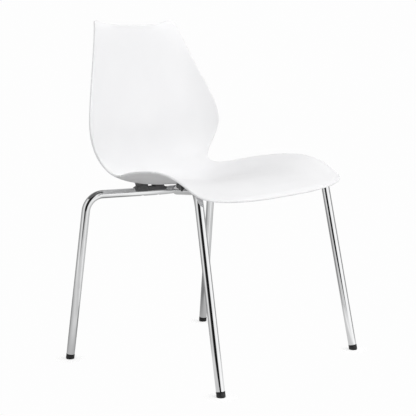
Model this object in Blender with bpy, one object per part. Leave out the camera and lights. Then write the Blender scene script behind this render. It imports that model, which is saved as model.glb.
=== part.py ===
"""Stacking chair: one moulded seat-and-back shell on a welded frame of two bent steel tubes.

The sitter faces -Y, their left hand is +X, and the floor is z = 0. The origin lies on the floor
under the middle of the chair's overall box. Sizes are in metres.

The rear tube runs up one rear leg, bends inward, bows forward under the shell and comes down
the other rear leg. The front tube does the same from the front legs, bowing back until it lies
against the rear tube, where the two are welded. Four twin-lug saddles sit on the tubes. Each lug
takes a boss of the shell, and a screw from below clamps tube, saddle and shell together.
"""
import math

import bmesh
import bpy
from mathutils import Matrix, Vector
from mathutils.bvhtree import BVHTree

# Overall sizes
SHELL_TOP_HEIGHT = 0.772      # floor to the back's two upper tips, without the rounded rim
SEAT_SIDE_HEIGHT = 0.456      # floor to the highest point of the seat's side edge
SHELL_WIDTH = 0.516           # across the seat at its widest, without the rounded rim
SHELL_THICKNESS = 0.005
TOUCH_GAP = 0.0003            # between faces that touch

# Frame tubes
TUBE_DIAMETER = 0.019
TUBE_WALL = 0.002
REAR_BEND_TRACK = 0.4398      # between the centre lines where legs and cross run meet
FRONT_BEND_TRACK = 0.4564
REAR_BEND_BEHIND = 0.1832     # where leg and cross run meet, behind the shell's datum
FRONT_BEND_AHEAD = 0.1490     # where leg and cross run meet, ahead of the shell's datum
INWARD_LEAN = math.radians(2.8)
REAR_LEG_LEAN = math.radians(6.8)
FRONT_LEG_LEAN = math.radians(10.8)
REAR_BEND_DROP = 0.0635       # highest seat edge down to the tube's top, where they meet
FRONT_BEND_DROP = 0.0245
CROSS_DROP = 0.0645           # highest seat edge down to the tubes' tops, where they touch
REAR_BOW_CENTRE = 0.1075      # rear tube's centre line behind the datum, in the middle
LEG_BEND_RADIUS = 0.040
REAR_BOW_RADIUS = 0.190
FRONT_BOW_RADIUS = 0.060

# Saddles, their screws and the shell's bosses
REAR_SADDLE_AT = 0.079        # along the rear tube from its middle to the saddle's centre
FRONT_SADDLE_AT = 0.150       # along the front tube from its middle
LUG_PITCH = 0.040             # between the two screws of one saddle
SADDLE_END = 0.018            # from a screw's axis to the saddle's nearer end
SADDLE_SIDE = 0.0045          # saddle wall beside a boss
SADDLE_WRAP = 0.006           # how far the saddle reaches down the tube's side from its top
SADDLE_BLANK = 0.0255         # saddle over the tube's top, before the shell trims it
SADDLE_TOE = 0.004            # height of the toe that runs out along the tube
SADDLE_LIP = 0.003            # undercut under the end of the lug
NOTCH_FLOOR_WIDTH = 0.0180
NOTCH_TOP_WIDTH = 0.0240      # at the blank's top
NOTCH_FLOOR = 0.0025          # saddle left over the tube under the notch
BOSS_WALL = 0.00205
BOSS_DROP = 0.0030            # how far a boss hangs below the shell
SCREW_DIAMETER = 0.005
SCREW_TIP_CHAMFER = 0.0005
HEAD_OVERHANG = 0.00175       # how far the screw's head stands out round its shank
SCREW_HEAD_HEIGHT = 0.003
HEAD_CHAMFER = 0.001
SOCKET_DIAMETER = 0.004
SOCKET_DEPTH = 0.0018
SCREW_GRIP = 0.0045           # screw length inside the insert
INSERT_WALL = 0.0011
INSERT_LENGTH = 0.0050
WASHER_OVERHANG = 0.0005      # how far the washer stands out round the screw's head
WASHER_THICKNESS = 0.0012     # at its edge, from its seat to the tube's inner wall
ACCESS_CLEARANCE = 0.0005     # round the washer as it passes the tube's lower wall

# Foot glides
GLIDE_SHOULDER = 0.00025      # how far a glide stands out round its tube
GLIDE_HEIGHT = 0.012          # floor to the end of the tube, on the leg's axis
GLIDE_SOLE_SINK = 0.0012      # how much of the rounded sole the flat sole takes off
GLIDE_ROUNDING = 0.0045
GLIDE_STEM_LENGTH = 0.018
GLIDE_STEM_CHAMFER = 0.002

# Facets
TUBE_SIDES = 16
ROUND_SIDES = 14
BEND_SAG = 0.0003             # between a bend's straight facets and its true arc
SHELL_STATIONS = 40
SHELL_COLUMNS = 18
EDGE_CROWDING = 0.25          # 0 spaces the columns evenly, 1 crowds them to the side edges
SMOOTH_BELOW = math.radians(35)   # facets that meet at less are shaded as one surface
BOW_FIT_PASSES = 40

# What follows from the sizes above
TUBE_RADIUS = TUBE_DIAMETER / 2
TUBE_BORE = TUBE_RADIUS - TUBE_WALL               # radius
SCREW_HOLE = SCREW_DIAMETER / 2 + TOUCH_GAP       # radius
INSERT_RADIUS = SCREW_HOLE + INSERT_WALL
BOSS_RADIUS = INSERT_RADIUS + TOUCH_GAP + BOSS_WALL
HEAD_RADIUS = SCREW_DIAMETER / 2 + HEAD_OVERHANG
WASHER_RADIUS = HEAD_RADIUS + WASHER_OVERHANG
SADDLE_WIDTH = 2 * (BOSS_RADIUS + TOUCH_GAP + SADDLE_SIDE)
SADDLE_LENGTH = LUG_PITCH + 2 * SADDLE_END

# The shell, as crosswise stations from the top edge to the front edge. Each row gives the middle
# of the station (behind the datum, height) and its edge (half width, behind the datum, height),
# in millimetres, on the sitting side. Rows close together turn the four corners.
SHELL_ROWS = (
    ((239, 755), (118, 243, 767)),      # top edge, up to where the corner starts
    ((239, 751), (130, 240, 767)),      # upper corner
    ((238, 743), (139, 230, 756)),
    ((235, 706), (157, 215, 708)),
    ((229, 646), (184, 195, 644)),
    ((221, 586), (209, 176, 588)),
    ((213, 532), (224, 164, 530)),      # back at its widest
    ((210, 490), (212, 167, 489)),
    ((203, 451), (189, 170, 454)),
    ((188, 418), (174, 160, 432)),      # waist
    ((153, 401), (178, 136, 424)),
    ((104, 398), (193, 104, 427)),
    ((52, 403), (214, 57, 438)),
    ((0, 410), (235, 0, 447)),
    ((-50, 418), (248, -50, 451)),      # highest point of the side edge
    ((-95, 422), (255, -95, 447)),
    ((-135, 420), (258, -138, 432)),    # seat at its widest
    ((-172, 411), (255, -172, 412)),
    ((-192, 403), (243, -188, 405)),    # front corner
    ((-205, 397), (221, -197, 400)),
    ((-213, 391), (190, -203, 397)),    # front edge, from where the corner ends
)
ROWS_TOP, ROWS_WIDTH, ROWS_SEAT = 0.767, 0.516, 0.451   # the three overall sizes of the rows
SECTION_POWER = 3.0           # 2 is a parabola across the shell, more is flatter in the middle


def material(name, colour, roughness, metallic):
    """Make a Principled material."""
    made = bpy.data.materials.new(name)
    made.use_nodes = True
    shader = made.node_tree.nodes["Principled BSDF"]
    shader.inputs["Base Color"].default_value = (*colour, 1.0)
    shader.inputs["Roughness"].default_value = roughness
    shader.inputs["Metallic"].default_value = metallic
    return made


def add_object(name, bm, finish, parent):
    """Turn a bmesh into a named, smooth-shaded object under the given parent."""
    bmesh.ops.recalc_face_normals(bm, faces=bm.faces)
    mesh = bpy.data.meshes.new(name)
    bm.to_mesh(mesh)
    bm.free()
    mesh.shade_smooth()
    mesh.set_sharp_from_angle(angle=SMOOTH_BELOW)
    made = bpy.data.objects.new(name, mesh)
    made.parent = parent
    bpy.context.scene.collection.objects.link(made)
    if finish is not None:
        mesh.materials.append(finish)
    return made


def add_cutter(name, bm, parent):
    """Make a solid that only shapes other objects."""
    made = add_object(name, bm, None, parent)
    made.hide_render = True
    made.display_type = "WIRE"
    return made


def combine(target, tool, operation):
    """Join or cut the target with the tool, and keep it as a modifier."""
    step = target.modifiers.new(f"{operation.lower()} {tool.name}", "BOOLEAN")
    step.operation = operation
    step.solver = "EXACT"
    step.object = tool


def turned(profile, sides=ROUND_SIDES):
    """Solid of revolution about Z from (radius, height) pairs, first and last on the axis or
    joined into a ring when the profile never touches the axis."""
    bm = bmesh.new()
    on_axis = profile[0][0] == 0
    rings = []
    for radius, height in profile:
        if radius == 0:
            rings.append([bm.verts.new((0, 0, height))])
            continue
        angles = (2 * math.pi * k / sides for k in range(sides))
        rings.append([bm.verts.new((radius * math.cos(a), radius * math.sin(a), height))
                      for a in angles])
    pairs = list(zip(rings, rings[1:]))
    if not on_axis:
        pairs.append((rings[-1], rings[0]))
    for low, high in pairs:
        for k in range(sides):
            n = (k + 1) % sides
            corners = [low[k % len(low)], low[n % len(low)], high[n % len(high)], high[k % len(high)]]
            bm.faces.new(list(dict.fromkeys(corners)))
    return bm


def placed(bm, point, axis=(0, 0, 1)):
    """Turn a solid's Z axis to the given axis and move its origin to the given point."""
    turn = Vector((0, 0, 1)).rotation_difference(Vector(axis)).to_matrix().to_4x4()
    bmesh.ops.transform(bm, matrix=Matrix.Translation(point) @ turn, verts=bm.verts)
    return bm


def gathered(solids):
    """One mesh that holds all the given solids side by side."""
    whole = bmesh.new()
    for bm in solids:
        piece = bpy.data.meshes.new("piece")
        bm.to_mesh(piece)
        bm.free()
        whole.from_mesh(piece)
        bpy.data.meshes.remove(piece)
    return whole


class Path:
    """A polyline whose corners are rounded with arcs, measured from its middle."""

    def __init__(self, corners, radii):
        points = [corners[0]]
        for before, corner, after, radius in zip(corners, corners[1:], corners[2:], radii):
            points += self.arc(before, corner, after, radius)
        points.append(corners[-1])
        self.points = points
        self.lengths = [0.0]
        for a, b in zip(points, points[1:]):
            self.lengths.append(self.lengths[-1] + (b - a).length)

    @staticmethod
    def arc(before, corner, after, radius):
        """Points on the arc that rounds one corner."""
        inward, outward = (before - corner).normalized(), (after - corner).normalized()
        turn = math.pi - inward.angle(outward)
        start = corner + inward * radius * math.tan(turn / 2)
        centre = corner + (inward + outward).normalized() * radius / math.cos(turn / 2)
        spin_axis = inward.cross(outward) * -1
        step = 2 * math.acos(1 - BEND_SAG / radius)
        count = 2 * math.ceil(turn / step / 2)
        return [centre + Matrix.Rotation(turn * k / count, 3, spin_axis) @ (start - centre)
                for k in range(count + 1)]

    def at(self, from_middle):
        """Point and direction at a distance from the path's middle."""
        wanted = self.lengths[-1] / 2 + from_middle
        for k, length in enumerate(self.lengths[1:]):
            if wanted <= length:
                break
        a, b = self.points[k], self.points[k + 1]
        share = (wanted - self.lengths[k]) / (b - a).length
        return a.lerp(b, share), (b - a).normalized()


def swept(points, radius, bore=0.0, sides=TUBE_SIDES):
    """Round bar along a path, or a tube open at both ends when it has a bore."""
    bm = bmesh.new()
    directions = []
    for k in range(len(points)):
        ahead = (points[min(k + 1, len(points) - 1)] - points[k]).normalized()
        behind = (points[k] - points[max(k - 1, 0)]).normalized()
        directions.append((ahead + behind).normalized())
    across = directions[0].orthogonal().normalized()
    skins = [[] for _ in range(2 if bore else 1)]
    for k, (point, direction) in enumerate(zip(points, directions)):
        if k:
            across = directions[k - 1].rotation_difference(direction) @ across
        for skin, size in zip(skins, (radius, bore)):
            ring = []
            for n in range(sides):
                spoke = Matrix.Rotation(2 * math.pi * n / sides, 3, direction) @ across
                ring.append(bm.verts.new(point + spoke * size))
            skin.append(ring)
    for skin in skins:
        for low, high in zip(skin, skin[1:]):
            for n in range(sides):
                m = (n + 1) % sides
                bm.faces.new((low[n], low[m], high[m], high[n]))
    for end in (0, -1):
        if bore:
            for n in range(sides):
                m = (n + 1) % sides
                outer, inner = skins[0][end], skins[1][end]
                bm.faces.new((outer[n], outer[m], inner[m], inner[n]))
        else:
            bm.faces.new(skins[0][end])
    return bm


def smooth_line(points, at):
    """Point on a smooth curve through the given points, at from 0 to the last point's index."""
    k = min(int(at), len(points) - 2)
    t = at - k
    a, b = points[k], points[k + 1]
    before = points[k - 1] if k else a * 2 - b
    after = points[k + 2] if k + 2 < len(points) else b * 2 - a
    knots = [0.0]
    for p, q in ((before, a), (a, b), (b, after)):
        knots.append(knots[-1] + max((q - p).length, 1e-6) ** 0.5)
    x = knots[1] + t * (knots[2] - knots[1])

    def blend(p, q, start, end):
        return p * ((end - x) / (end - start)) + q * ((x - start) / (end - start))

    near = blend(before, a, knots[0], knots[1])
    middle = blend(a, b, knots[1], knots[2])
    far = blend(b, after, knots[2], knots[3])
    return blend(blend(near, middle, knots[0], knots[2]),
                 blend(middle, far, knots[1], knots[3]), knots[1], knots[2])


class Shell:
    """The moulded surface: stations from top to front, columns from side to side."""

    def __init__(self):
        self.middles = [self.sized(0, y, z) for (y, z), _ in SHELL_ROWS]
        self.edges = [self.sized(*edge) for _, edge in SHELL_ROWS]
        self.grid = [[self.point(i, j) for j in range(SHELL_COLUMNS + 1)]
                     for i in range(SHELL_STATIONS + 1)]
        self.normals = [[self.normal(i, j) for j in range(SHELL_COLUMNS + 1)]
                        for i in range(SHELL_STATIONS + 1)]

    @staticmethod
    def sized(x, y, z):
        """A row's millimetre values as a point, stretched to the overall sizes."""
        x, y, z = x / 1000, y / 1000, z / 1000
        if z > ROWS_SEAT:
            rise = (SHELL_TOP_HEIGHT - SEAT_SIDE_HEIGHT) / (ROWS_TOP - ROWS_SEAT)
            z = SEAT_SIDE_HEIGHT + (z - ROWS_SEAT) * rise
        else:
            z += SEAT_SIDE_HEIGHT - ROWS_SEAT
        return Vector((x * SHELL_WIDTH / ROWS_WIDTH, y, z))

    def surface(self, at, side):
        """Sitting-surface point: at counts rows from the top, side runs from -1 to 1."""
        middle, edge = smooth_line(self.middles, at), smooth_line(self.edges, at)
        share = abs(side) ** SECTION_POWER
        low = middle.lerp(edge, share)
        return Vector((edge.x * side, low.y, low.z))

    def point(self, i, j):
        """Grid point, with stations evenly shared among the rows."""
        at = (len(SHELL_ROWS) - 1) * i / SHELL_STATIONS
        side = 2 * j / SHELL_COLUMNS - 1
        crowded = math.sin(side * math.pi / 2)
        return self.surface(at, side + (crowded - side) * EDGE_CROWDING)

    def normal(self, i, j):
        """Unit normal on the sitting side."""
        along = self.grid[min(i + 1, SHELL_STATIONS)][j] - self.grid[max(i - 1, 0)][j]
        across = self.grid[i][min(j + 1, SHELL_COLUMNS)] - self.grid[i][max(j - 1, 0)]
        return along.cross(across).normalized()

    def rim(self):
        """Grid indices round the outline."""
        last_i, last_j = SHELL_STATIONS, SHELL_COLUMNS
        return ([(0, j) for j in range(last_j)] + [(i, last_j) for i in range(last_i)]
                + [(last_i, j) for j in range(last_j, 0, -1)] + [(i, 0) for i in range(last_i, 0, -1)])

    def solid(self, above, below, full_rim):
        """Closed solid between two offsets of the sitting surface, with a rounded rim if asked."""
        bm = bmesh.new()
        skins = []
        for offset in (above, below):
            skins.append([[bm.verts.new(p + n * offset) for p, n in zip(points, normals)]
                          for points, normals in zip(self.grid, self.normals)])
        for skin in skins:
            for i in range(SHELL_STATIONS):
                for j in range(SHELL_COLUMNS):
                    bm.faces.new((skin[i][j], skin[i][j + 1], skin[i + 1][j + 1], skin[i + 1][j]))
        rim = self.rim()
        chain = []
        for k, (i, j) in enumerate(rim):
            top, bottom = skins[0][i][j], skins[1][i][j]
            links = [top, bottom]
            if full_rim:
                before, after = rim[k - 1], rim[(k + 1) % len(rim)]
                run = self.grid[after[0]][after[1]] - self.grid[before[0]][before[1]]
                outward = run.cross(self.normals[i][j]).normalized() * -1
                crown = (top.co + bottom.co) / 2 + outward * (above - below) / 2
                links.insert(1, bm.verts.new(crown))
            chain.append(links)
        for near, far in zip(chain, chain[1:] + chain[:1]):
            for a, b, c, d in zip(near, far, far[1:], near[1:]):
                bm.faces.new((a, b, c, d))
        return bm

    def underside(self):
        """Search tree of the shell's lower skin."""
        lower = [p - n * SHELL_THICKNESS for points, normals in zip(self.grid, self.normals)
                 for p, n in zip(points, normals)]
        width = SHELL_COLUMNS + 1
        quads = [(i * width + j, i * width + j + 1, (i + 1) * width + j + 1, (i + 1) * width + j)
                 for i in range(SHELL_STATIONS) for j in range(SHELL_COLUMNS)]
        return BVHTree.FromPolygons(lower, quads)


def leg_slope(reach, lean):
    """How a right-hand leg's centre line moves for each metre up; reach is signed along Y."""
    return Vector((-math.tan(INWARD_LEAN), -math.copysign(math.tan(lean), reach), 1))


def arch_path(foot_point, bend_point, bow_middle, bow_radius):
    """Centre line from the right foot over the bowed cross run to the left foot. The bow's arc
    passes through its middle point."""
    between_bends = Vector((0, bend_point.y, bend_point.z))
    apex = bow_middle.copy()
    for _ in range(BOW_FIT_PASSES):
        half_turn = math.pi / 2 - (bend_point - apex).angle(between_bends - apex)
        rise = bow_radius * (1 / math.cos(half_turn) - 1)
        apex = bow_middle - (between_bends - bow_middle).normalized() * rise
    half = [bend_point, foot_point]
    mirrored = [Vector((-p.x, p.y, p.z)) for p in reversed(half)]
    return Path(mirrored + [apex] + half, (LEG_BEND_RADIUS, bow_radius, LEG_BEND_RADIUS))


def glide(foot, axis, name, finish, root):
    """Foot glide on a leg's axis: a rounded foot, and a stem pushed into the tube."""
    radius = TUBE_RADIUS + GLIDE_SHOULDER
    stem = TUBE_BORE - TOUCH_GAP
    bottom = -GLIDE_SOLE_SINK - radius * math.tan(axis.angle(Vector((0, 0, 1))))
    profile = [(0, bottom)]
    profile += [(radius - GLIDE_ROUNDING * (1 - math.sin(a)), bottom + GLIDE_ROUNDING * (1 - math.cos(a)))
                for a in (math.radians(d) for d in range(0, 91, 18))]
    shoulder = GLIDE_HEIGHT - TOUCH_GAP
    stem_top = shoulder + GLIDE_STEM_LENGTH
    profile += [(radius, shoulder), (stem, shoulder), (stem, stem_top - GLIDE_STEM_CHAMFER),
                (stem - GLIDE_STEM_CHAMFER, stem_top), (0, stem_top)]
    made = add_object(name, placed(turned(profile), foot, axis), finish, root)
    floor, depth = bmesh.new(), 4 * TUBE_DIAMETER
    bmesh.ops.create_cube(floor, size=depth)
    bmesh.ops.translate(floor, verts=floor.verts, vec=foot - Vector((0, 0, depth / 2)))
    combine(made, add_cutter(f"{name}_floor_cut", floor, root), "DIFFERENCE")
    return made


def saddle_body(centre, direction):
    """Side view of a saddle, in the plane of the tube's run, given its width: spread toes along
    the tube, undercut ends, a lip under the shell and a notch between the lugs."""
    half, top = SADDLE_LENGTH / 2, TUBE_RADIUS + SADDLE_BLANK
    right = [(NOTCH_FLOOR_WIDTH / 2, TUBE_RADIUS + NOTCH_FLOOR), (NOTCH_TOP_WIDTH / 2, top), (half, top),
             (half - SADDLE_LIP, top - 3 * SADDLE_LIP),
             (half - SADDLE_TOE - SADDLE_LIP, TUBE_RADIUS + SADDLE_TOE),
             (half, TUBE_RADIUS), (half, TUBE_RADIUS - SADDLE_WRAP)]
    outline = right + [(-u, z) for u, z in reversed(right)]
    along = Vector((direction.x, direction.y, 0)).normalized()
    across = Vector((-along.y, along.x, 0))
    bm = bmesh.new()
    faces = []
    for side in (-SADDLE_WIDTH / 2, SADDLE_WIDTH / 2):
        verts = [bm.verts.new(centre + along * u + across * side + Vector((0, 0, z))) for u, z in outline]
        faces.append(verts)
        bm.faces.new(verts)
    for k in range(len(outline)):
        n = (k + 1) % len(outline)
        bm.faces.new((faces[0][k], faces[0][n], faces[1][n], faces[1][k]))
    return bm


class Fixing:
    """One screw with its washer and insert on a vertical axis. The head and the washer bear on
    the tube's upper wall from inside, and nothing stands out below the tube."""

    def __init__(self, name, tube_point, under_z):
        self.name = name
        self.spot = Vector((tube_point.x, tube_point.y, 0))
        self.tube_middle = tube_point.z
        wall_at_washer = tube_point.z + math.sqrt(TUBE_BORE ** 2 - WASHER_RADIUS ** 2)
        self.seat = wall_at_washer - TOUCH_GAP - WASHER_THICKNESS
        self.under = under_z
        self.boss_end = under_z - BOSS_DROP

    def column(self, profile):
        """Turned solid on the fixing's axis."""
        return placed(turned(profile), self.spot)

    def screw(self):
        """Button-head screw with a blind drive socket."""
        shank, socket = SCREW_DIAMETER / 2, SOCKET_DIAMETER / 2
        top = self.boss_end + TOUCH_GAP + SCREW_GRIP
        under_head = self.seat - TOUCH_GAP
        low = under_head - SCREW_HEAD_HEIGHT
        return self.column([
            (0, low + SOCKET_DEPTH), (socket, low + SOCKET_DEPTH), (socket, low),
            (HEAD_RADIUS - HEAD_CHAMFER, low), (HEAD_RADIUS, low + HEAD_CHAMFER),
            (HEAD_RADIUS, under_head), (shank, under_head), (shank, top - SCREW_TIP_CHAMFER),
            (shank - SCREW_TIP_CHAMFER, top), (0, top)])

    def washer(self):
        """Thick washer, before its upper side is shaped to the inside of the tube."""
        rise = self.tube_middle + TUBE_RADIUS
        return self.column([(SCREW_HOLE, self.seat), (WASHER_RADIUS, self.seat),
                            (WASHER_RADIUS, rise), (SCREW_HOLE, rise)])

    def insert(self):
        """Threaded bush that sits in the boss; its thread is left plain."""
        low = self.boss_end + TOUCH_GAP
        high = low + INSERT_LENGTH
        return self.column([(SCREW_HOLE, low), (INSERT_RADIUS, low), (INSERT_RADIUS, high),
                            (SCREW_HOLE, high)])

    def boss(self):
        """Boss under the shell, rooted in the shell's wall."""
        root = self.under + SHELL_THICKNESS / 2
        return self.column([(0, self.boss_end), (BOSS_RADIUS, self.boss_end), (BOSS_RADIUS, root), (0, root)])

    def insert_bore(self):
        """Blind hole in the boss for the insert."""
        wide, low = INSERT_RADIUS + TOUCH_GAP, self.boss_end - SHELL_THICKNESS
        high = self.boss_end + INSERT_LENGTH + 3 * TOUCH_GAP
        return self.column([(0, low), (wide, low), (wide, high), (0, high)])

    def stepped_hole(self):
        """Access hole for the screw's head in the tube's lower wall, then the screw's passage
        through the upper wall and the saddle, then the saddle's socket for the boss."""
        low, access = self.tube_middle - TUBE_DIAMETER, WASHER_RADIUS + ACCESS_CLEARANCE
        socket_floor = self.boss_end - TOUCH_GAP
        wide, high = BOSS_RADIUS + TOUCH_GAP, self.under + SADDLE_BLANK
        return self.column([(0, low), (access, low), (access, self.tube_middle),
                            (SCREW_HOLE, self.tube_middle), (SCREW_HOLE, socket_floor),
                            (wide, socket_floor), (wide, high), (0, high)])


def build():
    """Model the whole chair."""
    for old in list(bpy.data.objects):
        bpy.data.objects.remove(old)
    root = bpy.data.objects.new("chair_origin", None)
    bpy.context.scene.collection.objects.link(root)
    parts = {
        "plastic": material("white_plastic", (0.86, 0.87, 0.88), 0.35, 0.0),
        "chrome": material("chrome_tube", (0.80, 0.81, 0.82), 0.06, 1.0),
        "dark": material("dark_plastic", (0.06, 0.06, 0.065), 0.5, 0.0),
        "rubber": material("black_glide", (0.015, 0.015, 0.016), 0.55, 0.0),
        "steel": material("zinc_steel", (0.62, 0.63, 0.64), 0.3, 1.0),
        "brass": material("brass_insert", (0.72, 0.55, 0.28), 0.3, 1.0),
    }

    form = Shell()
    shell = add_object("seat_shell", form.solid(0.0, -SHELL_THICKNESS, True), parts["plastic"], root)
    over_saddles = add_cutter("shell_envelope",
                              form.solid(SADDLE_BLANK, -SHELL_THICKNESS - TOUCH_GAP, False), root)
    underside = form.underside()

    frame_top = SEAT_SIDE_HEIGHT - TUBE_RADIUS
    rear_bow = Vector((0, REAR_BOW_CENTRE, frame_top - CROSS_DROP))
    front_bow = rear_bow - Vector((0, TUBE_DIAMETER + TOUCH_GAP, 0))
    frames = (
        ("rear", Vector((REAR_BEND_TRACK / 2, REAR_BEND_BEHIND, frame_top - REAR_BEND_DROP)),
         REAR_LEG_LEAN, rear_bow, REAR_BOW_RADIUS, REAR_SADDLE_AT),
        ("front", Vector((FRONT_BEND_TRACK / 2, -FRONT_BEND_AHEAD, frame_top - FRONT_BEND_DROP)),
         FRONT_LEG_LEAN, front_bow, FRONT_BOW_RADIUS, FRONT_SADDLE_AT),
    )
    all_fixings = []
    for end, bend_point, lean, bow_middle, bow_radius, saddle_at in frames:
        slope = leg_slope(bend_point.y, lean)
        floor_point = bend_point - slope * bend_point.z
        axis = slope.normalized()
        path = arch_path(floor_point + axis * GLIDE_HEIGHT, bend_point, bow_middle, bow_radius)
        arch = add_object(f"{end}_arch", swept(path.points, TUBE_RADIUS, TUBE_BORE),
                          parts["chrome"], root)
        around = add_cutter(f"{end}_arch_clearance", swept(path.points, TUBE_RADIUS + TOUCH_GAP), root)
        inside = add_cutter(f"{end}_arch_inside", swept(path.points, TUBE_BORE - TOUCH_GAP), root)
        for side, sign in (("left", 1), ("right", -1)):
            foot = Vector((sign * floor_point.x, floor_point.y, 0))
            glide(foot, Vector((sign * axis.x, axis.y, axis.z)), f"glide_{end}_{side}",
                  parts["rubber"], root)
            centre, direction = path.at(sign * saddle_at)
            saddle = add_object(f"saddle_{end}_{side}", saddle_body(centre, direction),
                                parts["dark"], root)
            combine(saddle, around, "DIFFERENCE")
            combine(saddle, over_saddles, "DIFFERENCE")
            fixings = []
            for lug, offset in (("outer", LUG_PITCH / 2), ("inner", -LUG_PITCH / 2)):
                point, _ = path.at(sign * (saddle_at + offset))
                hit = underside.ray_cast(Vector((abs(point.x), point.y, 0)), Vector((0, 0, 1)))[0]
                fixings.append(Fixing(f"{end}_{side}_{lug}", point, hit.z))
            for item in fixings:
                add_object(f"screw_{item.name}", item.screw(), parts["steel"], root)
                add_object(f"insert_{item.name}", item.insert(), parts["brass"], root)
                washer = add_object(f"washer_{item.name}", item.washer(), parts["steel"], root)
                combine(washer, inside, "INTERSECT")
            holes = add_cutter(f"holes_{end}_{side}", gathered(f.stepped_hole() for f in fixings), root)
            combine(arch, holes, "DIFFERENCE")
            combine(saddle, holes, "DIFFERENCE")
            all_fixings += fixings
    bosses = add_cutter("bosses", gathered(f.boss() for f in all_fixings), root)
    bores = add_cutter("insert_bores", gathered(f.insert_bore() for f in all_fixings), root)
    combine(shell, bosses, "UNION")
    combine(shell, bores, "DIFFERENCE")
    centre_in_box(root)


def centre_in_box(root):
    """Move everything so that the origin is under the middle of the overall box."""
    bpy.context.view_layer.update()
    depths = [(item.matrix_world @ vert.co).y for item in bpy.data.objects
              if item.type == "MESH" and not item.hide_render for vert in item.data.vertices]
    root.location.y = -(min(depths) + max(depths)) / 2
    bpy.context.view_layer.update()


build()
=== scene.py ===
"""Stacking chair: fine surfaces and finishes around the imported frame.

The moulded shell is lofted between its middle line and its edge line, the two tubes are swept
along their bent centre lines, and the glides, bosses, screws and weld beads are made at full
detail. Saddles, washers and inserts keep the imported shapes, and the saddles' edges are softened.
The sitter faces -Y, their left hand is +X, and the floor is z = 0. Sizes are in metres.
"""
import logging
import math
from collections.abc import Callable, Mapping, Sequence
from dataclasses import dataclass
from enum import Enum
from typing import Any

import bmesh
import bpy
from mathutils import Matrix, Vector


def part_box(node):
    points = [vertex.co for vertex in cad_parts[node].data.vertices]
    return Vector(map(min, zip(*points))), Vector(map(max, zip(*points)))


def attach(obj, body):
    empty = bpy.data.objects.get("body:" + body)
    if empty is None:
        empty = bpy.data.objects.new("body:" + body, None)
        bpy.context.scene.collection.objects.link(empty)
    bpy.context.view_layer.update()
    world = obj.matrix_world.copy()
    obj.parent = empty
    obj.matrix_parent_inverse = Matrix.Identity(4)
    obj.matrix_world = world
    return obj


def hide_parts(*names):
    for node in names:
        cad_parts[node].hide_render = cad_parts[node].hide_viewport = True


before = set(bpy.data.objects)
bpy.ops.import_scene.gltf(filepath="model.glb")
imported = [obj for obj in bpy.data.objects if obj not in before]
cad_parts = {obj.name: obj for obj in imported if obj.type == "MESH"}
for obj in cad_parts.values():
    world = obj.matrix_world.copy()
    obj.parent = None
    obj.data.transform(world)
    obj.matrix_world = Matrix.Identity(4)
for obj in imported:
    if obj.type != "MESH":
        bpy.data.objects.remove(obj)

LOG = logging.getLogger("stacking_chair")
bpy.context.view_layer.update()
BODY = "root"
TOUCH_GAP = 0.0003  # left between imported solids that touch
SAME_POINT = 1e-6  # points nearer to each other than this are one
MILLIMETRES_PER_METRE = 1000.0
NOISE_SPAN = (0.35, 0.65)  # where most of a noise's values lie
REAR_SADDLE_MIDDLE = 0.079  # along the rear tube, from the tube's middle
LUG_PITCH = 0.040  # between the two screws of a saddle
UP = Vector((0.0, 0.0, 1.0))
Socket = bpy.types.NodeSocket
Profile = list[tuple[float, float]]


class End(Enum):
    """Which of the two bent tubes a piece belongs to."""

    REAR = "rear"
    FRONT = "front"


class Side(Enum):
    """Which of the sitter's sides a piece is on, with the sign of its X."""

    LEFT = 1
    RIGHT = -1

    @property
    def word(self) -> str:
        """The side's word in node names."""
        return self.name.lower()


class Lug(Enum):
    """Which lug of a saddle a fixing goes through."""

    INNER = "inner"
    OUTER = "outer"


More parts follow.
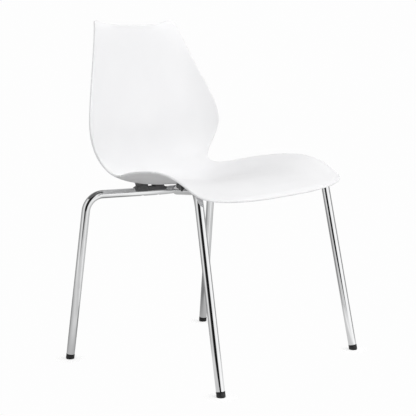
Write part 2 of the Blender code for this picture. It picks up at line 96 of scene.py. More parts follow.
class NodeSketch:
    """Writes a node tree one node at a time."""

    def __init__(self, tree: bpy.types.NodeTree) -> None:
        """Keep the tree that is written to."""
        self.tree = tree

    def feed(self, socket: Socket, value: Any) -> None:
        """Link a socket to an input, or set the input's constant."""
        if isinstance(value, bpy.types.NodeSocket):
            self.tree.links.new(value, socket)
        else:
            socket.default_value = value

    def add(self, kind: str, values: Mapping[Any, Any] | None = None, **settings: Any) -> bpy.types.Node:
        """Add a node.

        Args:
            kind: The node type's identifier.
            values: Input names or places, each with a constant or an output to link.
            settings: The node's own properties.

        Returns:
            The new node.
        """
        node = self.tree.nodes.new(kind)
        for name, setting in settings.items():
            setattr(node, name, setting)
        for key, value in (values or {}).items():
            self.feed(node.inputs[key], value)
        return node

    def math(self, operation: str, *values: Any) -> Socket:
        """Result of a maths node on up to three values."""
        return self.add("ShaderNodeMath", dict(enumerate(values)), operation=operation).outputs[0]

    def vector(self, operation: str, *values: Any) -> Socket:
        """Vector result of a vector maths node."""
        return self.add("ShaderNodeVectorMath", dict(enumerate(values)), operation=operation).outputs[0]

    def measured(self, operation: str, *values: Any) -> Socket:
        """Number result of a vector maths node, such as a length or a distance."""
        node = self.add("ShaderNodeVectorMath", dict(enumerate(values)), operation=operation)
        return node.outputs["Value"]

    def scaled(self, vector: Socket, factor: Any) -> Socket:
        """A vector times a number."""
        node = self.add("ShaderNodeVectorMath", {0: vector, "Scale": factor}, operation="SCALE")
        return node.outputs[0]

    def split(self, vector: Socket) -> list[Socket]:
        """The three components of a vector."""
        return list(self.add("ShaderNodeSeparateXYZ", {0: vector}).outputs)

    def joined(self, x: Any, y: Any, z: Any) -> Socket:
        """A vector from three components."""
        return self.add("ShaderNodeCombineXYZ", {0: x, 1: y, 2: z}).outputs[0]

    def ranged(self, value: Socket, source: Sequence[float], target: Sequence[float]) -> Socket:
        """A number carried, and clamped, from one range to another."""
        values = {"Value": value, "From Min": source[0], "From Max": source[1],
                  "To Min": target[0], "To Max": target[1]}
        return self.add("ShaderNodeMapRange", values).outputs[0]

    def noise(self, place: Socket, scale: float, detail: float = 2.0) -> Socket:
        """Noise between about 0.3 and 0.7, with its scale in cells for each metre."""
        values = {"Vector": place, "Scale": scale, "Detail": detail}
        return self.add("ShaderNodeTexNoise", values).outputs[0]

    def blended(self, share: Any, low: Any, high: Any) -> Socket:
        """A colour between two colours.

        Args:
            share: How far from the low colour to the high one, from 0 to 1.
            low: The first colour.
            high: The second colour.

        Returns:
            The blended colour.
        """
        node = self.add("ShaderNodeMix", {0: share}, data_type="RGBA")
        self.feed(node.inputs[6], low)
        self.feed(node.inputs[7], high)
        return node.outputs[2]

    def ramp(self, value: Socket, stops: Sequence[tuple[float, float]]) -> Socket:
        """A brightness read from (place, brightness) stops, with places from 0 to 1.

        Args:
            value: The place that is read.
            stops: The (place, brightness) pairs, in order.

        Returns:
            The brightness.
        """
        node = self.add("ShaderNodeValToRGB", {0: value})
        elements = node.color_ramp.elements
        while len(elements) < len(stops):
            elements.new(1.0)
        for element, (place, level) in zip(elements, stops):
            element.position = place
            element.color = grey(level)
        return node.outputs[0]


class SurfaceSketch(NodeSketch):
    """A material with one Principled shader, written around Object coordinates."""

    def __init__(self, name: str, colour: Sequence[float], roughness: float, metallic: float) -> None:
        """Make the material with its uniform values.

        Args:
            name: The material's name.
            colour: Its plain colour.
            roughness: Its plain roughness.
            metallic: 1 for a metal, 0 for anything else.
        """
        self.material = bpy.data.materials.new(name)
        self.material.use_nodes = True
        super().__init__(self.material.node_tree)
        self.shader = self.tree.nodes["Principled BSDF"]
        self.shader.inputs["Base Color"].default_value = (*colour, 1.0)
        self.shader.inputs["Roughness"].default_value = roughness
        self.shader.inputs["Metallic"].default_value = metallic
        self.place = self.add("ShaderNodeTexCoord").outputs["Object"]

    def stretched(self, scale: tuple[float, float, float]) -> Socket:
        """Object coordinates with a scale of their own along each axis."""
        return self.add("ShaderNodeMapping", {"Vector": self.place, "Scale": scale}).outputs[0]

    def tint(self, share: Socket, low: Sequence[float], high: Sequence[float]) -> None:
        """Blend the shader's colour between two colours."""
        self.feed(self.shader.inputs["Base Color"], self.blended(share, (*low, 1.0), (*high, 1.0)))

    def roughen(self, value: Socket) -> None:
        """Set the shader's roughness by a value that varies."""
        self.feed(self.shader.inputs["Roughness"], value)

    def bump(self, layers: Sequence[tuple[Socket, float]]) -> None:
        """Stack height layers, each with its depth in metres, into the shader's normal.

        Args:
            layers: (height, depth) pairs, from the broadest to the finest.
        """
        normal = None
        for height, depth in layers:
            values = {"Height": height, "Distance": depth, "Strength": 1.0}
            if normal is not None:
                values["Normal"] = normal
            normal = self.add("ShaderNodeBump", values).outputs[0]
        self.feed(self.shader.inputs["Normal"], normal)


class GeometryRecipe(NodeSketch):
    """A geometry tree with named inputs, run once to give a plain mesh."""

    def __init__(self, name: str, inputs: Mapping[str, str]) -> None:
        """Make the tree.

        Args:
            name: The tree's name.
            inputs: Each input's name and its socket type's last word, such as Float.
        """
        super().__init__(bpy.data.node_groups.new(name, "GeometryNodeTree"))
        face = self.tree.interface
        face.new_socket("Geometry", in_out="OUTPUT", socket_type="NodeSocketGeometry")
        for label, kind in {**inputs, "Finish": "Material"}.items():
            face.new_socket(label, in_out="INPUT", socket_type=f"NodeSocket{kind}")
        self.source = self.add("NodeGroupInput")
        self.position = self.add("GeometryNodeInputPosition").outputs[0]

    def given(self, label: str) -> Socket:
        """The socket of a named input."""
        return self.source.outputs[label]

    def shape_of(self, label: str) -> Socket:
        """The geometry of an object input."""
        return self.add("GeometryNodeObjectInfo", {0: self.given(label)}).outputs["Geometry"]

    def moved(self, geometry: Socket, position: Any, selection: Any = True) -> Socket:
        """The geometry with its selected points at new positions."""
        return self.add("GeometryNodeSetPosition", {"Geometry": geometry, "Selection": selection,
                                                    "Position": position}).outputs[0]

    def stored(self, geometry: Socket, name: str, value: Any, kind: str = "FLOAT",
               selection: Any = True) -> Socket:
        """The geometry with a value kept on its points under a name.

        Args:
            geometry: The geometry.
            name: The value's name.
            value: The value.
            kind: The value's type.
            selection: Which points take it.

        Returns:
            The geometry with the value.
        """
        values = {"Geometry": geometry, "Selection": selection, "Name": name, "Value": value}
        node = self.add("GeometryNodeStoreNamedAttribute", values, data_type=kind, domain="POINT")
        return node.outputs[0]

    def kept(self, name: str, kind: str = "FLOAT") -> Socket:
        """A value kept on the points under a name."""
        return self.add("GeometryNodeInputNamedAttribute", {"Name": name}, data_type=kind).outputs[0]

    def together(self, *parts: Socket) -> Socket:
        """Several geometries as one.

        Args:
            parts: The geometries, in the order of their points.

        Returns:
            The joined geometry.
        """
        node = self.add("GeometryNodeJoinGeometry")
        for part in reversed(parts):
            self.tree.links.new(part, node.inputs[0])
        return node.outputs[0]

    def end_with(self, geometry: Socket) -> None:
        """End the tree in plain, dressed geometry.

        Args:
            geometry: The recipe's result.
        """
        real = self.add("GeometryNodeRealizeInstances", {0: geometry}).outputs[0]
        dressed = self.add("GeometryNodeSetMaterial", {0: real, "Material": self.given("Finish")})
        self.add("NodeGroupOutput", {0: dressed.outputs[0]})

    def make(self, name: str, values: Mapping[str, Any]) -> bpy.types.Object:
        """Run the recipe and keep its result as a plain mesh object.

        Args:
            name: The piece's name.
            values: A value for each of the tree's inputs.

        Returns:
            The piece, at the origin.
        """
        carrier = add_object(f"{name}_recipe", bpy.data.meshes.new(f"{name}_recipe"))
        step = carrier.modifiers.new("recipe", "NODES")
        step.node_group = self.tree
        for item in self.tree.interface.items_tree:
            if item.in_out == "INPUT":
                step[item.identifier] = values[item.name]
        mesh = evaluated_mesh(carrier, name)
        bpy.data.objects.remove(carrier)
        return add_object(name, mesh)


def grey(level: float) -> tuple[float, float, float, float]:
    """An opaque grey of one brightness."""
    return (level, level, level, 1.0)


def radial(angle: float, radius: float) -> tuple[float, float]:
    """The point at an angle and a distance from the middle."""
    return (radius * math.cos(angle), radius * math.sin(angle))


def middle_of(low: Vector, high: Vector, height: float) -> Vector:
    """The point at a height on the upright line through a box's middle."""
    return Vector(((low.x + high.x) / 2, (low.y + high.y) / 2, height))


def blank_material(name: str) -> tuple[bpy.types.Material, NodeSketch]:
    """Make a material with an empty tree.

    Args:
        name: The material's name.

    Returns:
        The material, and the sketch that writes to its tree.
    """
    material = bpy.data.materials.new(name)
    material.use_nodes = True
    material.node_tree.nodes.clear()
    return material, NodeSketch(material.node_tree)


def add_object(name: str, data: Any) -> bpy.types.Object:
    """Link a new object that holds the given data.

    Args:
        name: The object's name.
        data: What it holds.

    Returns:
        The object, at the origin.
    """
    made = bpy.data.objects.new(name, data)
    bpy.context.scene.collection.objects.link(made)
    return made


def evaluated_mesh(source: bpy.types.Object, name: str) -> bpy.types.Mesh:
    """The mesh that an object's modifiers give, as a new plain mesh.

    Args:
        source: The object.
        name: The new mesh's name.

    Returns:
        The mesh.
    """
    bpy.context.view_layer.update()
    depsgraph = bpy.context.evaluated_depsgraph_get()
    mesh = bpy.data.meshes.new_from_object(source.evaluated_get(depsgraph))
    mesh.name = name
    return mesh


def settle(piece: bpy.types.Object, steps: Callable[[bmesh.types.BMesh], None] | None = None,
           sharp: float | None = None) -> bpy.types.Object:
    """Weld a piece's doubled points, turn its faces outwards and shade it smooth.

    Args:
        piece: The object, whose modifiers are applied first.
        steps: Further changes to its bmesh.
        sharp: Edges that meet at more than this angle stay crisp; None keeps all smooth.

    Returns:
        The same object, with a new plain mesh.
    """
    mesh = evaluated_mesh(piece, piece.name) if piece.modifiers else piece.data
    piece.modifiers.clear()
    piece.data = mesh
    bm = bmesh.new()
    bm.from_mesh(mesh)
    bmesh.ops.remove_doubles(bm, verts=bm.verts, dist=SAME_POINT)
    if steps is not None:
        steps(bm)
    bmesh.ops.recalc_face_normals(bm, faces=bm.faces)
    bm.to_mesh(mesh)
    bm.free()
    mesh.shade_smooth()
    if sharp is not None:
        mesh.set_sharp_from_angle(angle=sharp)
    return piece


def enrol(piece: bpy.types.Object, slot: str, *nodes: str) -> bpy.types.Object:
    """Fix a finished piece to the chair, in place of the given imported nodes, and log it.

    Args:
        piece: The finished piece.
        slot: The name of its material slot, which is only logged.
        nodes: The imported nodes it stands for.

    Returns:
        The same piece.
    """
    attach(piece, BODY)
    if nodes:
        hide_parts(*nodes)
    LOG.info("%s: %d faces, slot %s, stands for %s", piece.name, len(piece.data.polygons), slot,
             ", ".join(nodes) or "nothing packed")
    return piece


def dress(target: bpy.types.Object, finish: bpy.types.Material) -> bpy.types.Object:
    """Give an object one material.

    Args:
        target: The object.
        finish: The material.

    Returns:
        The same object.
    """
    target.data.materials.clear()
    target.data.materials.append(finish)
    return target


def line_object(name: str, points: Sequence[Vector]) -> bpy.types.Object:
    """A guide that holds points joined in a row.

    Args:
        name: The guide's name.
        points: Its points, in order.

    Returns:
        The guide.
    """
    mesh = bpy.data.meshes.new(name)
    joins = [(k, k + 1) for k in range(len(points) - 1)]
    mesh.from_pydata([tuple(p) for p in points], joins, [])
    return add_object(name, mesh)


def turned(name: str, profile: Profile, sides: int) -> bpy.types.Object:
    """Solid of revolution about Z.

    Args:
        name: The object's name.
        profile: (radius, height) pairs, from axis to axis, or a ring clear of the axis.
        sides: Facets round the axis.

    Returns:
        The solid, at the origin.
    """
    bm = bmesh.new()
    rings = []
    for radius, height in profile:
        count = sides if radius else 1
        rings.append([bm.verts.new((*radial(2 * math.pi * k / sides, radius), height))
                      for k in range(count)])
    pairs = list(zip(rings, rings[1:]))
    if profile[0][0]:
        pairs.append((rings[-1], rings[0]))
    for low, high in pairs:
        for k in range(sides):
            n = (k + 1) % sides
            corners = [low[k % len(low)], low[n % len(low)], high[n % len(high)], high[k % len(high)]]
            bm.faces.new(list(dict.fromkeys(corners)))
    mesh = bpy.data.meshes.new(name)
    bm.to_mesh(mesh)
    bm.free()
    return add_object(name, mesh)


def rounded(centre: tuple[float, float], radius: float, start: float, steps: int = 6) -> Profile:
    """Quarter-turn of a profile about a centre, from the start angle, against the clock."""
    spokes = [radial(start + math.pi / 2 * k / steps, radius) for k in range(steps + 1)]
    return [(centre[0] + x, centre[1] + y) for x, y in spokes]


# Finishes


@dataclass(frozen=True)
class MouldedWhite:
    """Through-coloured white polypropylene with a fine satin grain."""

    colour: tuple[float, float, float] = (0.80, 0.80, 0.807)
    shade: tuple[float, float, float] = (0.78, 0.78, 0.788)
    satin: tuple[float, float] = (0.30, 0.40)
    rim_shine: float = 0.10
    grain_cells: float = 1500.0
    grain_depth: float = 0.000012
    flow_cells: float = 7.0
    ripple_cells: float = 45.0
    ripple_depth: float = 0.00002
    rub_cells: float = 260.0
    rub_stretch: tuple[float, float, float] = (1.0, 0.12, 0.12)
    rub_share: float = 0.6
    refraction: float = 1.49

    def build(self) -> bpy.types.Material:
        """Write the material.

        Returns:
            The material.
        """
        sketch = SurfaceSketch("moulded_white", self.colour, self.satin[0], 0.0)
        sketch.shader.inputs["IOR"].default_value = self.refraction
        flow = sketch.noise(sketch.place, self.flow_cells, detail=3.0)
        grain = sketch.noise(sketch.place, self.grain_cells, detail=2.0)
        ripple = sketch.noise(sketch.place, self.ripple_cells, detail=1.0)
        rubs = sketch.noise(sketch.stretched(self.rub_stretch), self.rub_cells, detail=4.0)
        sketch.tint(sketch.ranged(flow, NOISE_SPAN, (0.0, 1.0)), self.colour, self.shade)
        flow_part = sketch.math("MULTIPLY", flow, 1.0 - self.rub_share)
        worn = sketch.math("MULTIPLY_ADD", rubs, self.rub_share, flow_part)
        satin = sketch.ranged(worn, NOISE_SPAN, self.satin)
        rim = sketch.add("ShaderNodeAttribute", attribute_name="rim").outputs["Fac"]
        sketch.roughen(sketch.math("MULTIPLY_ADD", rim, -self.rim_shine, satin))
        sketch.bump(((ripple, self.ripple_depth), (grain, self.grain_depth)))
        return sketch.material


@dataclass(frozen=True)
class BrightChrome:
    """Chrome plate over a polished tube, with a faint polishing haze."""

    name: str = "bright_chrome"
    colour: tuple[float, float, float] = (0.94, 0.945, 0.95)
    mirror: tuple[float, float] = (0.025, 0.075)
    haze_cells: float = 30.0
    haze_span: tuple[float, float] = (0.4, 0.65)
    haze_dims: float = 0.95
    hairline_cells: float = 900.0
    hairline_stretch: tuple[float, float, float] = (1.0, 1.0, 0.04)
    hairline_share: float = 0.5
    mark_span: tuple[float, float] = (0.4, 0.62)
    wave_cells: float = 60.0
    wave_depth: float = 0.000004

    def build(self) -> bpy.types.Material:
        """Write the material.

        Returns:
            The material.
        """
        sketch = SurfaceSketch(self.name, self.colour, self.mirror[0], 1.0)
        haze = sketch.noise(sketch.place, self.haze_cells, detail=4.0)
        drawn = sketch.stretched(self.hairline_stretch)
        hairlines = sketch.noise(drawn, self.hairline_cells, detail=3.0)
        wave = sketch.noise(sketch.place, self.wave_cells, detail=2.0)
        haze_part = sketch.math("MULTIPLY", haze, 1.0 - self.hairline_share)
        marks = sketch.math("MULTIPLY_ADD", hairlines, self.hairline_share, haze_part)
        sketch.roughen(sketch.ranged(marks, self.mark_span, self.mirror))
        dim = tuple(part * self.haze_dims for part in self.colour)
        sketch.tint(sketch.ranged(haze, self.haze_span, (0.0, 1.0)), self.colour, dim)
        sketch.bump(((wave, self.wave_depth),))
        return sketch.material


@dataclass(frozen=True)
class GrainedDark:
    """Dark moulded plastic with a spark-eroded grain and paler rubbed spots."""

    name: str
    colour: tuple[float, float, float]
    rubbed: tuple[float, float, float]
    rough: tuple[float, float]
    grain_cells: float
    grain_depth: float
    scuff_height: float = 0.0
    spot_cells: float = 180.0
    spot_span: tuple[float, float] = (0.52, 0.72)
    spot_wear: float = 0.5
    scratch_cells: float = 2200.0
    roughest_wear: float = 0.6

    def build(self) -> bpy.types.Material:
        """Write the material; below the scuff height it is scratched pale by the floor.

        Returns:
            The material.
        """
        sketch = SurfaceSketch(self.name, self.colour, self.rough[0], 0.0)
        grain = sketch.noise(sketch.place, self.grain_cells, detail=3.0)
        spots = sketch.noise(sketch.place, self.spot_cells, detail=4.0)
        wear = sketch.ranged(spots, self.spot_span, (0.0, self.spot_wear))
        if self.scuff_height:
            height = sketch.split(sketch.place)[2]
            low = sketch.ranged(height, (self.scuff_height, 0.0), (0.0, 1.0))
            scratch = sketch.noise(sketch.place, self.scratch_cells, detail=5.0)
            wear = sketch.math("MAXIMUM", wear, sketch.math("MULTIPLY", low, scratch))
        sketch.tint(wear, self.colour, self.rubbed)
        sketch.roughen(sketch.ranged(wear, (0.0, self.roughest_wear), self.rough))
        sketch.bump(((grain, self.grain_depth),))
        return sketch.material


@dataclass(frozen=True)
class SmallMetal:
    """Turned or plated small metal parts with fine lathe marks."""

    name: str
    colour: tuple[float, float, float]
    tarnish: tuple[float, float, float]
    rough: tuple[float, float]
    bloom_cells: float = 700.0
    tarnish_span: tuple[float, float] = (0.4, 0.65)
    lathe_cells: float = 9000.0
    lathe_stretch: tuple[float, float, float] = (0.1, 0.1, 1.0)
    lathe_depth: float = 0.000005

    def build(self) -> bpy.types.Material:
        """Write the material.

        Returns:
            The material.
        """
        sketch = SurfaceSketch(self.name, self.colour, self.rough[0], 1.0)
        bloom = sketch.noise(sketch.place, self.bloom_cells, detail=4.0)
        lathe = sketch.noise(sketch.stretched(self.lathe_stretch), self.lathe_cells, detail=2.0)
        sketch.tint(sketch.ranged(bloom, self.tarnish_span, (0.0, 1.0)), self.colour, self.tarnish)
        sketch.roughen(sketch.ranged(bloom, NOISE_SPAN, self.rough))
        sketch.bump(((lathe, self.lathe_depth),))
        return sketch.material


# The chair


@dataclass
class Datum:
    """Where the design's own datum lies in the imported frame: a shift along Y only."""

    shift: Vector

    @classmethod
    def from_insert(cls, designed: Vector) -> "Datum":
        """Find the shift from the rear left inner insert.

        Args:
            designed: The insert's axis in the design, on the rear tube's centre line.

        Returns:
            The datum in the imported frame.
        """
        low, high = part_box("insert_rear_left_inner")
        return cls(Vector((0.0, (low.y + high.y) / 2 - designed.y, 0.0)))


@dataclass
class BentTube:
    """One chromed tube: leg, bowed cross run and leg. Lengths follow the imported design."""

    end: End
    bend_track: float
    bend_y: float
    bend_height: float
    leg_lean: float
    bow_y: float
    bow_height: float
    bow_radius: float
    inward_lean: float = math.radians(2.8)
    leg_bend_radius: float = 0.040
    radius: float = 0.0095
    wall: float = 0.002
    foot_gap: float = 0.012
    access_radius: float = 0.00525
    passage_radius: float = 0.0028
    arc_step: float = math.radians(2.0)
    bow_passes: int = 40
    sides: int = 56
    drill_sides: int = 48
    crisp: float = math.radians(40)

    @property
    def axis(self) -> Vector:
        """Unit direction up the left leg."""
        toward_middle = -math.copysign(math.tan(self.leg_lean), self.bend_y)
        return Vector((-math.tan(self.inward_lean), toward_middle, 1.0)).normalized()

    @property
    def foot(self) -> Vector:
        """Where the left leg's centre line meets the floor, from the design's datum."""
        bend = Vector((self.bend_track / 2, self.bend_y, self.bend_height))
        return bend - self.axis * (bend.z / self.axis.z)

    def rounded_corner(self, before: Vector, corner: Vector, after: Vector,
                       radius: float) -> list[Vector]:
        """Points on the arc that rounds one corner of the centre line.

        Args:
            before: The corner before it.
            corner: The corner.
            after: The corner after it.
            radius: The arc's radius.

        Returns:
            The arc's points, in order.
        """
        inward, outward = (before - corner).normalized(), (after - corner).normalized()
        turn = math.pi - inward.angle(outward)
        start = corner + inward * radius * math.tan(turn / 2)
        centre = corner + (inward + outward).normalized() * radius / math.cos(turn / 2)
        spin = inward.cross(outward) * -1
        count = 2 * math.ceil(turn / self.arc_step / 2)
        return [centre + Matrix.Rotation(turn * k / count, 3, spin) @ (start - centre)
                for k in range(count + 1)]

    def centre_line(self) -> list[Vector]:
        """Centre line from the right foot to the left foot, from the design's datum.

        Returns:
            Its points, in order.
        """
        bend = Vector((self.bend_track / 2, self.bend_y, self.bend_height))
        level = Vector((0.0, bend.y, bend.z))
        bow = Vector((0.0, self.bow_y, self.bow_height))
        apex = bow.copy()
        for _ in range(self.bow_passes):
            half_turn = math.pi / 2 - (bend - apex).angle(level - apex)
            apex = bow - (level - bow).normalized() * self.bow_radius * (1 / math.cos(half_turn) - 1)
        half = [bend, self.foot + self.axis * self.foot_gap]
        corners = [Vector((-p.x, p.y, p.z)) for p in reversed(half)] + [apex] + half
        radii = (self.leg_bend_radius, self.bow_radius, self.leg_bend_radius)
        points = [corners[0]]
        for before, corner, after, radius in zip(corners, corners[1:], corners[2:], radii):
            points += self.rounded_corner(before, corner, after, radius)
        return points + [corners[-1]]

    def at(self, from_middle: float) -> Vector:
        """Centre-line point at a distance from the middle, along the left half.

        Args:
            from_middle: The distance along the tube.

        Returns:
            The point.
        """
        points = self.centre_line()
        lengths = [0.0]
        for a, b in zip(points, points[1:]):
            lengths.append(lengths[-1] + (b - a).length)
        wanted = lengths[-1] / 2 + from_middle
        k = next(n for n, length in enumerate(lengths[1:]) if wanted <= length)
        return points[k].lerp(points[k + 1], (wanted - lengths[k]) / (lengths[k + 1] - lengths[k]))

    @staticmethod
    def recipe() -> GeometryRecipe:
        """Tree that sweeps a round skin along a guide line.

        Returns:
            The tree.
        """
        inputs = {"Centre line": "Object", "Radius": "Float", "Sides": "Int"}
        tree = GeometryRecipe("tube_sweep", inputs)
        path = tree.add("GeometryNodeMeshToCurve", {0: tree.shape_of("Centre line")}).outputs[0]
        ring = tree.add("GeometryNodeCurvePrimitiveCircle",
                        {"Resolution": tree.given("Sides"), "Radius": tree.given("Radius")}).outputs[0]
        skin = tree.add("GeometryNodeCurveToMesh", {"Curve": path, "Profile Curve": ring}).outputs[0]
        tree.end_with(skin)
        return tree

    def drill(self, name: str) -> bpy.types.Object:
        """Stepped cutter for the tube's fixing holes: wide below the centre line, narrow above.

        Args:
            name: The cutter's name.

        Returns:
            The cutter.
        """
        wide, narrow, reach = self.access_radius, self.passage_radius, 2 * self.radius
        profile = [(0.0, -reach), (wide, -reach), (wide, 0.0), (narrow, 0.0), (narrow, reach),
                   (0.0, reach)]
        every_hole = bmesh.new()
        for side in Side:
            for lug in Lug:
                low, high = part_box(f"washer_{self.end.value}_{side.word}_{lug.value}")
                centre = middle_of(low, high, high.z + TOUCH_GAP + self.wall - self.radius)
                hole = turned(name, profile, self.drill_sides)
                hole.data.transform(Matrix.Translation(centre))
                every_hole.from_mesh(hole.data)
                bpy.data.objects.remove(hole)
        cutter = add_object(name, bpy.data.meshes.new(name))
        every_hole.to_mesh(cutter.data)
        every_hole.free()
        return settle(cutter)

    def build(self, datum: Datum, finish: bpy.types.Material) -> bpy.types.Object:
        """Sweep, hollow and drill the tube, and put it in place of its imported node.

        Args:
            datum: Where the design's datum lies.
            finish: Its material.

        Returns:
            The finished tube.
        """
        name = f"{self.end.value}_tube"
        guide = line_object(f"{name}_line", [p + datum.shift for p in self.centre_line()])
        tube = self.recipe().make(name, {"Centre line": guide, "Radius": self.radius,
                                         "Sides": self.sides, "Finish": finish})
        bpy.data.objects.remove(guide)
        hollow = tube.modifiers.new("wall", "SOLIDIFY")
        hollow.thickness = self.wall
        hollow.offset = -1.0
        hollow.use_even_offset = True
        settle(tube)
        cutter = self.drill(f"{name}_drill")
        holes = tube.modifiers.new("holes", "BOOLEAN")
        holes.operation = "DIFFERENCE"
        holes.solver = "EXACT"
        holes.object = cutter
        settle(tube, sharp=self.crisp)
        bpy.data.objects.remove(cutter)
        return enrol(dress(tube, finish), "chrome_tube", f"{self.end.value}_arch")


@dataclass
class Loft:
    """What the later steps of the shell's recipe take from its skin.

    The skin is a geometry, and so are the edge line's points. Everything else is a value at each
    of the skin's points: its side from -1 to 1, its station, how far out it lies from 0 to 1,
    the way from the middle line to the edge line, and the edge line's X.
    """

    skin: Socket
    edges: Socket
    side: Socket
    station: Socket
    outness: Socket
    reach: Socket
    edge_x: Socket


@dataclass
class SeatShell:
    """The one-piece moulded seat and back, lofted between its middle line and its edge line.

    Each row, from the top edge to the front edge, gives the middle (behind the datum, height)
    and the edge (half width, behind the datum, height) in millimetres.
    """

    rows: tuple[tuple[tuple[float, float], tuple[float, float, float]], ...] = (
        ((239, 760), (118, 243, 772)),
        ((239, 756), (130, 240, 772)),
        ((238, 748), (139, 230, 761)),
        ((235, 711), (157, 215, 713)),
        ((229, 651), (184, 195, 649)),
        ((221, 591), (209, 176, 593)),
        ((213, 537), (224, 164, 535)),
        ((210, 495), (212, 167, 494)),
        ((203, 456), (189, 170, 459)),
        ((188, 423), (174, 160, 437)),
        ((153, 406), (178, 136, 429)),
        ((104, 403), (193, 104, 432)),
        ((52, 408), (214, 57, 443)),
        ((0, 415), (235, 0, 452)),
        ((-50, 423), (248, -50, 456)),
        ((-95, 427), (255, -95, 452)),
        ((-135, 425), (258, -138, 437)),
        ((-172, 416), (255, -172, 417)),
        ((-192, 408), (243, -188, 410)),
        ((-205, 402), (221, -197, 405)),
        ((-213, 396), (190, -203, 402)),
    )
    thickness: float = 0.005
    section_power: float = 3.0
    edge_crowding: float = 0.25
    stations_per_row: int = 10
    columns: int = 120
    rim_steps: int = 8
    smoothing_passes: int = 16
    border: float = 0.9999
    join_distance: float = 1e-5

    @property
    def stations(self) -> int:
        """Steps from the top edge to the front edge."""
        return (len(self.rows) - 1) * self.stations_per_row

    @staticmethod
    def through(points: Sequence[Vector], at: float) -> Vector:
        """Point on a smooth curve through the given points, at from 0 to the last one's place.

        Args:
            points: The points, in order.
            at: The place along them, where each point's place is its number.

        Returns:
            The point on the curve.
        """
        k = min(int(at), len(points) - 2)
        a, b = points[k], points[k + 1]
        before = points[k - 1] if k else a * 2 - b
        after = points[k + 2] if k + 2 < len(points) else b * 2 - a
        knots = [0.0]
        for p, q in ((before, a), (a, b), (b, after)):
            knots.append(knots[-1] + max((q - p).length, SAME_POINT) ** 0.5)
        x = knots[1] + (at - k) * (knots[2] - knots[1])

        def mixed(p: Vector, q: Vector, start: float, stop: float) -> Vector:
            """Point between two points, at x between two knots."""
            return p * ((stop - x) / (stop - start)) + q * ((x - start) / (stop - start))

        near = mixed(before, a, knots[0], knots[1])
        middle = mixed(a, b, knots[1], knots[2])
        far = mixed(b, after, knots[2], knots[3])
        return mixed(mixed(near, middle, knots[0], knots[2]), mixed(middle, far, knots[1], knots[3]),
                     knots[1], knots[2])

    def line(self, points: Sequence[Vector], datum: Datum) -> list[Vector]:
        """One guide line, sampled at every station and faired between its ends.

        Args:
            points: The points that the line follows.
            datum: Where the design's datum lies.

        Returns:
            The line's points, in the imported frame.
        """
        samples = [self.through(points, k / self.stations_per_row) for k in range(self.stations + 1)]
        for _ in range(self.smoothing_passes):
            inner = [(a + b * 2 + c) / 4 for a, b, c in zip(samples, samples[1:], samples[2:])]
            samples = [samples[0], *inner, samples[-1]]
        return [p + datum.shift for p in samples]

    @staticmethod
    def guide_point(tree: GeometryRecipe, line: Socket, index: Any) -> Socket:
        """Point of a guide line at a station."""
        values = {"Geometry": line, "Value": tree.position, "Index": index}
        return tree.add("GeometryNodeSampleIndex", values, data_type="FLOAT_VECTOR", domain="POINT",
                        clamp=True).outputs[0]

    def lofted(self, tree: GeometryRecipe) -> Loft:
        """Carry the columns of a flat grid from the middle line out to the edge line.

        Args:
            tree: The recipe that is written to.

        Returns:
            The skin, and the values that the later steps take from it.
        """
        middles, edges = tree.shape_of("Middle line"), tree.shape_of("Edge line")
        across = tree.math("ADD", tree.given("Columns"), 1)
        along = tree.math("ADD", tree.given("Stations"), 1)
        grid = tree.add("GeometryNodeMeshGrid", {"Size X": 2.0, "Size Y": 1.0, "Vertices X": across,
                                                 "Vertices Y": along}).outputs["Mesh"]
        flat_x, flat_y, _ = tree.split(tree.position)
        down = tree.math("SUBTRACT", 0.5, flat_y)
        station = tree.math("ROUND", tree.math("MULTIPLY", down, tree.given("Stations")))
        grid = tree.stored(tree.stored(grid, "side", flat_x), "station", station)
        side, station = tree.kept("side"), tree.kept("station")

        middle = self.guide_point(tree, middles, station)
        edge = self.guide_point(tree, edges, station)
        sine = tree.math("SINE", tree.math("MULTIPLY", side, math.pi / 2))
        pull = tree.math("SUBTRACT", sine, side)
        crowded = tree.math("MULTIPLY_ADD", pull, tree.given("Edge crowding"), side)
        outness = tree.math("ABSOLUTE", crowded)
        share = tree.math("POWER", outness, tree.given("Section power"))
        reach = tree.vector("SUBTRACT", edge, middle)
        _, low_y, low_z = tree.split(tree.vector("ADD", middle, tree.scaled(reach, share)))
        edge_x = tree.split(edge)[0]
        place = tree.joined(tree.math("MULTIPLY", edge_x, crowded), low_y, low_z)
        return Loft(tree.moved(grid, place), edges, side, station, outness, reach, edge_x)

    def faced(self, tree: GeometryRecipe, loft: Loft) -> Socket:
        """Keep on the skin where it lies, its normal and the way its border faces.

        Args:
            tree: The recipe that is written to.
            loft: The skin and its values.

        Returns:
            The skin with the three directions and places stored.
        """
        facing = tree.math("SIGN", loft.side)
        after = self.guide_point(tree, loft.edges, tree.math("ADD", loft.station, 1))
        before = self.guide_point(tree, loft.edges, tree.math("SUBTRACT", loft.station, 1))
        run = tree.split(tree.vector("SUBTRACT", after, before))
        side_run = tree.joined(tree.math("MULTIPLY", run[0], facing), run[1], run[2])

        power = tree.given("Section power")
        steepness = tree.math("POWER", loft.outness, tree.math("SUBTRACT", power, 1))
        slope = tree.math("MULTIPLY", tree.math("MULTIPLY", power, facing), steepness)
        _, reach_y, reach_z = tree.split(loft.reach)
        end_run = tree.joined(loft.edge_x, tree.math("MULTIPLY", slope, reach_y),
                              tree.math("MULTIPLY", slope, reach_z))

